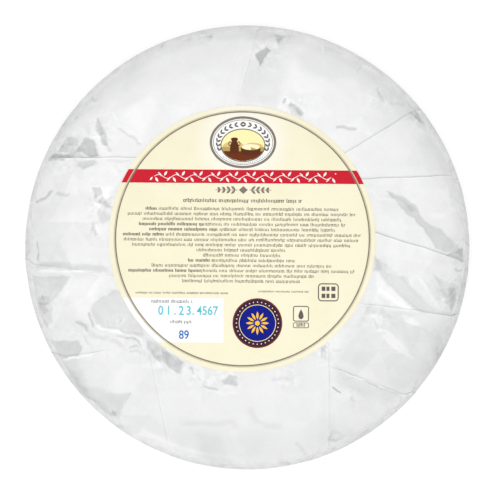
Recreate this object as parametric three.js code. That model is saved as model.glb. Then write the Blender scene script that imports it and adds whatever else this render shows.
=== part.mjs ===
// A whole wheel of soft white-mould cheese as a shop sells it: the cheese itself, the one sheet of
// film-coated paper that is folded round it, and the round label stuck on top, over the hole where
// the gathered edge of the sheet ends.
// Units are millimetres and +Z is up. The origin is the centre of the flat face it rests on.

import * as THREE from "three";

// Driving dimensions of the wrapped wheel
const WHEEL_RADIUS = 120; // outside of the paper, at the belly of the side
const WHEEL_HEIGHT = 33; // from the resting face to the highest folds on top
const BULGE = 1.2; // how far the side bows out between its two rounded edges
const FOOT_RADIUS = 6; // rounding of the lower edge
const SHOULDER_RADIUS = 8; // rounding of the upper edge
const DROOP = 1.2; // how far the top falls towards its edge
const LEVEL_RADIUS = 96; // the top is level inside this radius

// The paper, drawn thicker than the real film so that it is a sound solid
const PAPER_THICKNESS = 0.6;
const FOLD_HEIGHT = 0.6; // how far the edge of a fold stands above the paper beside it
const MOUTH_RADIUS = 10; // hole in the middle of the top, under the label
const CHEESE_CLEARANCE = 0.3;

// The label
const LABEL_RADIUS = 71.6;
const LABEL_THICKNESS = 0.3;
const LABEL_CENTRE = new THREE.Vector2(-2.7, 4.6);

// Directions, in degrees anticlockwise from +X, in which a fold of the paper runs over the edge
const FOLD_DIRECTIONS = [18.5, 39, 89, 156, 186, 210, 250, 291, 317, 342, 356];

// Fineness of the mesh
const ANGLE_STEP = 5;
const FOLD_STEP = 0.4; // the fold drops to the paper beside it within this many degrees
const LEAST_STEP = 1.3; // an even step nearer than this to a fold is left out
const ARC_STEPS = 4;

const radians = THREE.MathUtils.degToRad;

// Half of the wheel's section, from the axis at the bottom to the top at innerRadius, drawn inset
// millimetres inside the outer skin. topDrop lowers only the top.
function section(inset, innerRadius, topDrop = 0) {
  const sideRadius = WHEEL_RADIUS - BULGE - inset;
  const bottom = inset;
  const top = WHEEL_HEIGHT - inset - topDrop;
  const foot = FOOT_RADIUS - inset;
  const shoulder = SHOULDER_RADIUS - inset;
  const footTop = bottom + foot;
  const shoulderBase = top - DROOP - shoulder;
  const points = [new THREE.Vector2(0, bottom)];
  for (let i = 0; i <= ARC_STEPS; i++) {
    const turn = (Math.PI / 2) * (i / ARC_STEPS);
    points.push(
      new THREE.Vector2(sideRadius - foot + foot * Math.sin(turn), footTop - foot * Math.cos(turn)),
    );
  }
  for (let i = 1; i < ARC_STEPS; i++) {
    const share = i / ARC_STEPS;
    const out = BULGE * Math.sin(Math.PI * share);
    points.push(new THREE.Vector2(sideRadius + out, footTop + (shoulderBase - footTop) * share));
  }
  for (let i = 0; i <= ARC_STEPS; i++) {
    const turn = (Math.PI / 2) * (i / ARC_STEPS);
    points.push(
      new THREE.Vector2(
        sideRadius - shoulder + shoulder * Math.cos(turn),
        shoulderBase + shoulder * Math.sin(turn),
      ),
    );
  }
  const edge = sideRadius - shoulder;
  const halfWay = (edge + LEVEL_RADIUS) / 2;
  points.push(new THREE.Vector2(halfWay, top - DROOP / 4));
  points.push(new THREE.Vector2(LEVEL_RADIUS, top));
  points.push(new THREE.Vector2(innerRadius, top));
  return points;
}

// Where the paper's section is drawn, going once round from the first fold. In each panel between
// two folds the lift goes from 0, where the panel comes out from under one fold, to 1 at its own
// raised edge.
function paperStations() {
  return FOLD_DIRECTIONS.flatMap((fold, i) => {
    const start = fold + FOLD_STEP;
    const end = FOLD_DIRECTIONS[i + 1] ?? FOLD_DIRECTIONS[0] + 360;
    const between = [];
    for (let angle = ANGLE_STEP * Math.ceil(start / ANGLE_STEP); angle < end; angle += ANGLE_STEP) {
      const clearOfFolds = angle - start > LEAST_STEP && end - angle > LEAST_STEP;
      if (clearOfFolds || angle % 90 === 0) between.push(angle);
    }
    const liftAt = (angle) => ((angle - start) / (end - start)) ** 2;
    return [start, ...between, end].map((angle) => ({ angle, lift: liftAt(angle) }));
  });
}

// The folds start above the belly and have their full height from the shoulder inwards.
function foldWeight(height) {
  const belly = WHEEL_HEIGHT / 2;
  const shoulderBase = WHEEL_HEIGHT - DROOP - SHOULDER_RADIUS;
  return THREE.MathUtils.smoothstep(height, belly, shoulderBase + 2);
}

// A closed solid from one closed outline per station. Each outline starts and ends on the axis.
function turnedSolid(stations, outlineAt) {
  const positions = stations.flatMap((station) => {
    const direction = radians(station.angle);
    return outlineAt(station).flatMap(({ x, y }) => [
      x * Math.cos(direction),
      x * Math.sin(direction),
      y,
    ]);
  });
  const rows = positions.length / 3 / stations.length;
  const faces = [];
  for (let i = 0; i < stations.length; i++) {
    for (let k = 0; k < rows - 1; k++) {
      const here = i * rows + k;
      const next = ((i + 1) % stations.length) * rows + k;
      if (k > 0) faces.push(here, next, next + 1);
      if (k < rows - 2) faces.push(here, next + 1, here + 1);
    }
  }
  const geometry = new THREE.BufferGeometry();
  geometry.setAttribute("position", new THREE.Float32BufferAttribute(positions, 3));
  geometry.setIndex(faces);
  return geometry;
}

function paperGeometry() {
  const outer = section(0, MOUTH_RADIUS);
  const inner = section(PAPER_THICKNESS, MOUTH_RADIUS, FOLD_HEIGHT).reverse();
  const outlineAt = ({ lift }) => {
    const folded = outer.map(({ x, y }) => {
      const sink = FOLD_HEIGHT * (1 - lift) * foldWeight(y);
      const onTop = y >= WHEEL_HEIGHT - DROOP;
      return new THREE.Vector2(onTop ? x : x - sink, y - sink);
    });
    return [...folded, ...inner];
  };
  return turnedSolid(paperStations(), outlineAt);
}

function cheeseGeometry() {
  const inset = PAPER_THICKNESS + CHEESE_CLEARANCE;
  const profile = section(inset, 0, FOLD_HEIGHT);
  const geometry = new THREE.LatheGeometry(profile, 360 / ANGLE_STEP);
  geometry.rotateX(Math.PI / 2);
  return geometry;
}

function labelGeometry() {
  const disc = new THREE.Shape();
  disc.absarc(0, 0, LABEL_RADIUS, 0, 2 * Math.PI);
  return new THREE.ExtrudeGeometry(disc, {
    depth: LABEL_THICKNESS,
    bevelEnabled: false,
    curveSegments: 96,
  });
}

function namedMesh(name, geometry, material) {
  const mesh = new THREE.Mesh(geometry, material);
  mesh.name = name;
  return mesh;
}

const cheese = namedMesh(
  "cheese",
  cheeseGeometry(),
  new THREE.MeshStandardMaterial({ color: 0xf3ecd8, roughness: 0.9, metalness: 0 }),
);

const wrapper = namedMesh(
  "paper_wrapper",
  paperGeometry(),
  new THREE.MeshStandardMaterial({ color: 0xebebeb, roughness: 0.4, metalness: 0 }),
);

const label = namedMesh(
  "round_label",
  labelGeometry(),
  new THREE.MeshStandardMaterial({ color: 0xfdf9db, roughness: 0.5, metalness: 0 }),
);
label.position.set(LABEL_CENTRE.x, LABEL_CENTRE.y, WHEEL_HEIGHT);

const wrappedWheel = new THREE.Group();
wrappedWheel.add(cheese, wrapper, label);

export default wrappedWheel;
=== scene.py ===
"""Looks of the wrapped cheese wheel: the pleated film-coated paper, its printed round label and the
cheese inside.

Everything is in metres in the CAD frame: +Z up, the wheel's axis through the origin. Places on the
wheel are written in millimetres and multiplied by MM. A place on the paper is given on the flat sheet:
its distance from the middle of the top, measured along the paper, and its direction.
"""

import math
from dataclasses import dataclass

import bpy
import numpy as np
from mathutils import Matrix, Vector


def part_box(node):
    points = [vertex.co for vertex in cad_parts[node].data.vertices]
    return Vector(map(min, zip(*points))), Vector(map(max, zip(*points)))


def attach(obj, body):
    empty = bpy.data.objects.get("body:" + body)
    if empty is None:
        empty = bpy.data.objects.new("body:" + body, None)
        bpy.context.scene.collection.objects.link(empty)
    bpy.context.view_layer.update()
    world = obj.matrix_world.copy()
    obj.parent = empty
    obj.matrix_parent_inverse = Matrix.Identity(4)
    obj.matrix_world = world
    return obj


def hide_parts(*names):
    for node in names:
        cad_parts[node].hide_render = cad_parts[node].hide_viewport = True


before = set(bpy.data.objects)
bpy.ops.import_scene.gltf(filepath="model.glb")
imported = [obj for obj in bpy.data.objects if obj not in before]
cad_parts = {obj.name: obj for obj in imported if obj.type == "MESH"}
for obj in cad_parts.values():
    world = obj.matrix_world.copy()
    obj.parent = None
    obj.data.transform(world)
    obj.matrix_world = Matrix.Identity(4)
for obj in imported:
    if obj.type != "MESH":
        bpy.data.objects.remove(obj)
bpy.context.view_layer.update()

MM = 0.001
rad = np.radians

# ==== Sizes ====

PAPER_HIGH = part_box("paper_wrapper")[1]
LABEL_LOW, LABEL_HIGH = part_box("round_label")

WHEEL_RADIUS = PAPER_HIGH.x
WHEEL_TOP = PAPER_HIGH.z
LEVEL_RADIUS = 96 * MM  # the top is level inside this radius
DROOP = 1.2 * MM  # and falls by this much to its rounded edge
SHOULDER_RADIUS = 8 * MM
SHOULDER_START = 110.8 * MM
BELLY_HEIGHT = 14 * MM
FOOT_RADIUS = 6 * MM
FOOT_SIDE = WHEEL_RADIUS - 1.2 * MM  # radius of the side where the foot's rounding starts

PAPER_INSET = 0.55 * MM  # of the lowest layer of paper under the outer skin
CHEESE_INSET = 1.75 * MM

LABEL_X = (LABEL_LOW.x + LABEL_HIGH.x) / 2
LABEL_Y = (LABEL_LOW.y + LABEL_HIGH.y) / 2
LABEL_RADIUS = (LABEL_HIGH.x - LABEL_LOW.x) / 2
LABEL_TURN = math.radians(-0.4)  # the label is stuck on a little askew


# ==== Repeatable noise ====


def hashed(i, j, seed):
    """The same number from 0 to 1 each time for a pair of whole numbers."""
    value = np.sin(i * 127.1 + j * 311.7 + seed * 74.7) * 43758.5453
    return value - np.floor(value)


def smoothstep(low, high, x):
    t = np.clip((x - low) / (high - low), 0, 1)
    return t * t * (3 - 2 * t)


def swell(x, y, size, seed):
    """Smooth hills and dips from -1 to 1, about one size across."""
    i, j = np.floor(x / size), np.floor(y / size)
    u, v = x / size - i, y / size - j
    u, v = u * u * (3 - 2 * u), v * v * (3 - 2 * v)
    low = hashed(i, j, seed) * (1 - u) + hashed(i + 1, j, seed) * u
    high = hashed(i, j + 1, seed) * (1 - u) + hashed(i + 1, j + 1, seed) * u
    return 2 * (low * (1 - v) + high * v) - 1


def facets(x, y, size, seed):
    """Flat triangles, as crumpled paper has: their heights and a tone of their own, from -1 to 1."""
    bend = 0.45 * size
    across = x + bend * swell(x, y, 1.6 * size, seed + 5)
    up = y + bend * swell(x, y, 1.6 * size, seed + 9)
    v = up / (size * math.sqrt(3) / 2)
    u = across / size - v / 2
    i, j = np.floor(u), np.floor(v)
    u, v = u - i, v - j
    far = u + v > 1
    weight_right = np.where(far, 1 - v, u)
    weight_up = np.where(far, 1 - u, v)
    corner = hashed(i + far, j + far, seed)
    right = hashed(i + 1, j, seed)
    above = hashed(i, j + 1, seed)
    height = corner * (1 - weight_right - weight_up) + right * weight_right + above * weight_up
    tone = hashed(i + 0.5 * far, j, seed + 1)
    return 2 * height - 1, 2 * tone - 1


# ==== The wheel's skin ====


def steps(start, end, count=60):
    """Even steps from start to end, without the start itself."""
    return np.linspace(start, end, count)[1:]


def skin_profile():
    """The outer skin's outline, from the middle of the top to the middle of the underside."""
    share = steps(0, 1)
    fall = SHOULDER_START - LEVEL_RADIUS
    droop = (LEVEL_RADIUS + fall * share, WHEEL_TOP - DROOP * share**2)

    slope = math.atan(2 * DROOP / fall)
    turn = steps(slope, math.pi / 2)
    arc_x = SHOULDER_START - SHOULDER_RADIUS * math.sin(slope)
    arc_z = WHEEL_TOP - DROOP - SHOULDER_RADIUS * math.cos(slope)
    shoulder = (arc_x + SHOULDER_RADIUS * np.sin(turn), arc_z + SHOULDER_RADIUS * np.cos(turn))

    bow = (1 - np.cos(math.pi * share)) / 2
    side_top = arc_x + SHOULDER_RADIUS
    upper = (side_top + (WHEEL_RADIUS - side_top) * bow, arc_z + (BELLY_HEIGHT - arc_z) * share)
    lower_x = WHEEL_RADIUS + (FOOT_SIDE - WHEEL_RADIUS) * bow
    lower = (lower_x, BELLY_HEIGHT + (FOOT_RADIUS - BELLY_HEIGHT) * share)

    turn = steps(0, math.pi / 2)
    foot_x = FOOT_SIDE - FOOT_RADIUS + FOOT_RADIUS * np.cos(turn)
    foot = (foot_x, FOOT_RADIUS - FOOT_RADIUS * np.sin(turn))

    level = [[0.0, WHEEL_TOP], [LEVEL_RADIUS, WHEEL_TOP]]
    curves = [np.stack(curve, axis=1) for curve in (droop, shoulder, upper, lower, foot)]
    return np.concatenate([level, *curves, [[0.0, 0.0]]])


PROFILE = skin_profile()
PROFILE_LENGTH = np.concatenate([[0], np.cumsum(np.linalg.norm(np.diff(PROFILE, axis=0), axis=1))])
RIM_REACH = np.interp(-BELLY_HEIGHT, -PROFILE[2:-1, 1], PROFILE_LENGTH[2:-1])
FOOT_REACH = PROFILE_LENGTH[-2]  # where the paper reaches the table
END_REACH = PROFILE_LENGTH[-1]


def skin_radius(reach):
    return np.interp(reach, PROFILE_LENGTH, PROFILE[:, 0])


def skin_height(reach):
    return np.interp(reach, PROFILE_LENGTH, PROFILE[:, 1])


def skin(reach, direction, depth):
    """Points that lie reach along the skin and depth under it."""
    reach, direction, depth = np.broadcast_arrays(reach, direction, depth)
    ahead, behind = reach + 0.3 * MM, reach - 0.3 * MM
    along_r = skin_radius(ahead) - skin_radius(behind)
    along_z = skin_height(ahead) - skin_height(behind)
    length = np.hypot(along_r, along_z)
    out_r, out_z = -along_z / length, along_r / length
    r = skin_radius(reach) - depth * out_r
    z = skin_height(reach) - depth * out_z
    return np.stack([r * np.cos(direction), r * np.sin(direction), z], axis=-1)


# ==== The folds of the paper ====

LAYER = 0.11 * MM  # from one layer of a pleat to the next
TUCK = 5 * MM  # how far a pleat goes back under itself
TUCK_SLOPE = 4 * MM  # the paper comes down over the tuck's hidden edge in this length
HIDDEN_REACH = 68 * MM  # nearer the middle everything is under the label


@dataclass
class Fold:
    """One pleat's edge, a straight line on the flat sheet through two points in millimetres."""

    near: tuple
    far: tuple
    over: str  # which side lies on top: the one before the fold or after it, going anticlockwise
    lift: tuple  # how far its edge stands off the paper under it near the label and at the rim, in mm
    opens: float = 0.0  # distance from the middle, in millimetres, where the pleat starts
    closes: float = 146.0  # and where it ends, low on the side

    def heading(self):
        return math.atan2(self.far[1] - self.near[1], self.far[0] - self.near[0])

    def aside(self):
        """How far the line passes the middle of the sheet."""
        heading = self.heading()
        return (math.cos(heading) * self.near[1] - math.sin(heading) * self.near[0]) * MM

    def direction(self, reach):
        reach = np.maximum(reach, HIDDEN_REACH)
        return self.heading() + np.arcsin(self.aside() / reach)

    def edge_lift(self, reach):
        near_label, at_rim = self.lift
        return np.interp(reach / MM, (72, 114, 128), (near_label, at_rim, 0.4 * at_rim)) * MM

    def openness(self, reach):
        reach = reach / MM
        inner = smoothstep(self.opens, self.opens + 6, reach) * smoothstep(50, 66, reach)
        return inner * (1 - smoothstep(self.closes - 18, self.closes, reach))


FOLDS = [
    Fold((53.0, 51.1), (88.0, 72.5), "before", (0.17, 0.22), closes=143),
    Fold((-5.3, 77.6), (0.6, 100.8), "after", (0.0, 0.02), closes=138),
    Fold((-60.4, 47.9), (-109.0, 48.4), "after", (0.20, 0.40), closes=147),
    Fold((-72.8, -15.3), (-110.0, -9.6), "after", (0.03, 0.02), closes=145),
    Fold((-79.3, -55.8), (-100.0, -59.4), "after", (0.16, 0.03), opens=91, closes=141),
    Fold((-52.3, -56.9), (-43.7, -99.0), "after", (0.05, 0.05), closes=147),
    Fold((43.8, -53.1), (43.8, -100.0), "before", (0.01, 0.0), closes=145),
    Fold((44.3, -63.9), (88.1, -81.2), "before", (0.22, 0.04), opens=77, closes=142),
    Fold((61.1, -29.9), (108.0, -36.8), "before", (0.03, 0.22), closes=147),
    Fold((70.3, 7.4), (112.0, -5.9), "before", (0.40, 0.26), closes=144),
    Fold((63.8, 36.6), (110.0, 38.6), "before", (0.28, 0.24), closes=146),
]

FOLD_COUNT = len(FOLDS)


def fold_directions(reach):
    """The direction of each fold at each reach, growing from fold to fold: reaches by folds."""
    rim = [fold.direction(RIM_REACH) for fold in FOLDS]
    ordered = [rim[0]]
    for angle in rim[1:]:
        ordered.append(ordered[-1] + (angle - ordered[-1]) % math.tau)
    columns = [ordered[k] + FOLDS[k].direction(reach) - rim[k] for k in range(FOLD_COUNT)]
    for k, fold in enumerate(FOLDS):
        if fold.opens > 0:
            start = np.array([fold.opens * MM])
            before, after = FOLDS[k - 1], FOLDS[k + 1]
            low = ordered[k - 1] + before.direction(start) - rim[k - 1]
            high = ordered[k + 1] + after.direction(start) - rim[k + 1]
            share = (ordered[k] + fold.direction(start) - rim[k] - low) / (high - low)
            kept = columns[k - 1] + share * (columns[k + 1] - columns[k - 1])
            columns[k] = np.where(reach < start, kept, columns[k])
    return np.stack(columns, axis=1)


# A pleat seen in section, from the paper on one side to the paper on the other: how far along in
# millimetres, and how many layers up. It turns back at its edge, at 0, and again at the tuck's hidden
# edge, a little short of -TUCK.
PLEAT = [
    *[(-0.45, 2.0), (-0.15, 1.98), (0.0, 1.8), (0.05, 1.5), (0.0, 1.2), (-0.2, 1.0), (-2.0, 1.0)],
    *[(-4.6, 0.95), (-4.9, 0.5), (-4.6, 0.05), (-2.0, 0.0), (0.0, 0.0), (0.5, 0.0)],
]


def pleat_section(over):
    """Offsets and layers of a pleat's section, going anticlockwise along the sheet."""
    offset, layer = np.array(PLEAT).T
    if over == "after":
        return -offset[::-1] * MM, layer[::-1]
    return offset * MM, layer


# ==== Creases, facets and crumples of the paper, placed in millimetres on the flat sheet ====

# Each crease: its points, half its width, its height (below 0 for a groove) and how much
# painted shade greys it (below 0, a paler painted highlight).
CREASES = [
    # South-west, where the paper is gathered most
    ([(-84.3, -40), (-78, -43.5), (-73, -45.5), (-62.5, -46.6), (-55, -52)], 1.5, 0.5, -0.8),
    ([(-85, -34), (-85.5, -38), (-83, -43.5)], 1.0, -0.35, 1.3),
    ([(-71.5, -48.1), (-62.6, -48.8), (-56.6, -53.4)], 0.7, -0.3, 1.1),
    ([(-64, -53.8), (-58, -53.8)], 0.6, -0.3, 1.2),
    ([(-94, -40), (-88, -42), (-86, -46.5)], 1.1, -0.3, 0.8),
    ([(-95, -39), (-90, -41), (-85, -46.5), (-76, -49.5), (-65, -54)], 2.0, -0.3, 0.55),
    ([(-102, -60.5), (-91, -59.5), (-82, -57)], 1.1, 0.3, -0.6),
    ([(-69, -43), (-66, -38)], 1.2, 0.25, -0.5),
    ([(-64, -56), (-57, -56.5)], 0.6, -0.2, 0.9),
    ([(-88, -48), (-86, -52)], 0.6, -0.3, 0.9),
    ([(-62.6, -78.3), (-65, -83), (-68.5, -89.5)], 0.9, 0.3, -0.3),
    ([(-73.5, -77.5), (-62.6, -78.3)], 0.8, 0.2, -0.2),
    # West
    ([(-116, -12.8), (-91, -12.9), (-73, -15)], 1.0, 0.3, -0.7),
    ([(-117.5, -9.5), (-100, -9.6), (-73, -12.8)], 2.6, -0.25, 0.8),
    ([(-114.5, 5), (-113, 0), (-113.5, -8)], 0.6, -0.3, 1.3),
    ([(-117, 24.5), (-109, 27.5), (-105, 32)], 1.4, -0.35, 1.5),
    ([(-83.5, 15), (-83.5, 10), (-81, 6)], 0.8, -0.3, 0.9),
    ([(-82, 13), (-81.5, 8)], 0.6, 0.3, -0.8),
    ([(-110, 48.2), (-98, 47.6)], 0.9, -0.3, 1.3),
    ([(-78, 47.2), (-62, 47.0)], 0.7, -0.15, 0.6),
    ([(-72, 45.5), (-68, 40.5)], 1.1, -0.2, 0.5),
    ([(-105, 29.6), (-99, 28.4), (-95, 29.4)], 1.3, -0.2, 0.9),
    # North-west
    ([(-76.5, 56.5), (-73, 52)], 1.2, -0.2, 0.9),
    ([(-70.3, 65.7), (-64, 61), (-56.8, 54.9)], 0.7, -0.2, 0.7),
    ([(-66, 66.5), (-60, 60), (-56, 55.5)], 2.0, 0.1, -0.2),
    ([(-76, 76), (-70, 69)], 0.8, 0.2, -0.4),
    ([(-86, 84), (-82, 79)], 1.4, -0.3, 0.7),
    ([(-95, 73), (-92, 71)], 1.6, -0.3, 0.6),
    # North
    ([(-25, 117), (-19, 114.5)], 1.6, -0.4, 0.8),
    ([(0, 101), (-3, 88), (-5.5, 77)], 0.9, 0.12, -0.2),
    ([(21, 81.5), (20, 77.5)], 1.1, -0.35, 1.5),
    ([(22, 78), (26, 75.5), (30.5, 71)], 2.4, -0.5, 1.8),
    ([(47.5, 65.3), (53, 65.2), (60, 64.4)], 1.4, -0.3, 1.3),
    ([(40.5, 113), (41.5, 105)], 0.7, 0.25, -0.6),
    ([(63.5, 102), (59.7, 93)], 0.8, -0.2, 0.45),
    ([(70, 87), (70.5, 84), (73.5, 79)], 1.3, -0.25, 0.6),
    ([(77, 78), (86, 77.5)], 1.4, -0.2, 0.4),
    # East
    ([(88, 78.5), (93, 76), (97, 73)], 1.0, -0.35, 0.8),
    ([(74, 33), (83, 27), (92, 22)], 0.8, 0.2, -0.2),
    ([(70, 27), (80, 26), (86, 22)], 1.6, 0.2, -0.3),
    ([(98, 17), (108, 19), (118, 23)], 2.4, 0.25, -0.2),
    ([(112, -11.4), (118, -13)], 0.8, -0.4, 1.2),
    ([(69, -6), (73.5, -9), (82, -16), (91, -25), (101, -33)], 0.8, 0.2, 0.25),
    ([(71, -21), (80, -29), (90, -34.5)], 1.2, 0.25, -0.6),
    ([(92, -16), (97, -22), (105, -33)], 1.2, 0.3, -0.3),
    ([(69, -38), (71, -44)], 1.0, -0.2, 0.6),
    ([(71, -46), (76, -47)], 1.6, -0.2, 0.4),
    # South-east
    ([(46, -65), (66.5, -72.5), (75, -76)], 0.7, 0.3, -0.6),
    ([(62, -71.5), (72, -76.5), (83, -80)], 0.5, -0.2, 1.2),
    ([(82, -80), (96, -85.5)], 0.7, 0.25, -0.5),
    ([(44.9, -75.2), (50.3, -78.7)], 0.6, -0.3, 2.2),
    ([(45.5, -56), (51, -56)], 0.9, -0.2, 0.5),
    ([(42, -53), (41, -60)], 1.5, -0.45, 1.0),
    ([(46, -98), (44.5, -104), (51, -105)], 0.9, -0.25, 0.6),
    ([(56, -81), (59, -84)], 1.2, -0.2, 0.4),
    ([(82, -90), (86, -93)], 1.0, -0.3, 1.5),
    # South: small folds under the label's edge, and long soft waves in the last flap
    ([(-31.5, -65.5), (-28.8, -66), (-29, -69)], 0.6, -0.25, 1.5),
    ([(-25.5, -74), (-20, -76.5), (-15.5, -77)], 0.6, -0.25, 1.4),
    ([(1, -85), (5, -95), (11, -97), (21, -97)], 2.4, -0.22, 0.3),
    ([(-38, -95), (-22, -95.6), (-8, -95), (-3, -99.5)], 2.2, -0.22, 0.3),
    ([(27, -104), (30, -110), (33, -116)], 2.0, -0.25, 0.45),
    ([(-24, -77), (-12, -80), (-4, -78)], 1.6, 0.2, -0.2),
    ([(-9, -100), (-2, -112)], 3.0, 0.2, -0.1),
    ([(12, -72), (22, -71), (26, -74)], 1.6, -0.25, 0.4),
]


@dataclass
class Patch:
    """An area of the paper that is drawn greyer (or, below 0, paler) and lies lower than the rest. The grey
    is mostly painted shade, and a paler one is a painted highlight.
    """

    outline: list
    grey: float
    sunk: float = 0.0
    tilt: tuple = (0.0, 0.0)  # its rise per millimetre to the east and to the north
    soft: float = 0.55  # how gradually it ends, in millimetres


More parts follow.
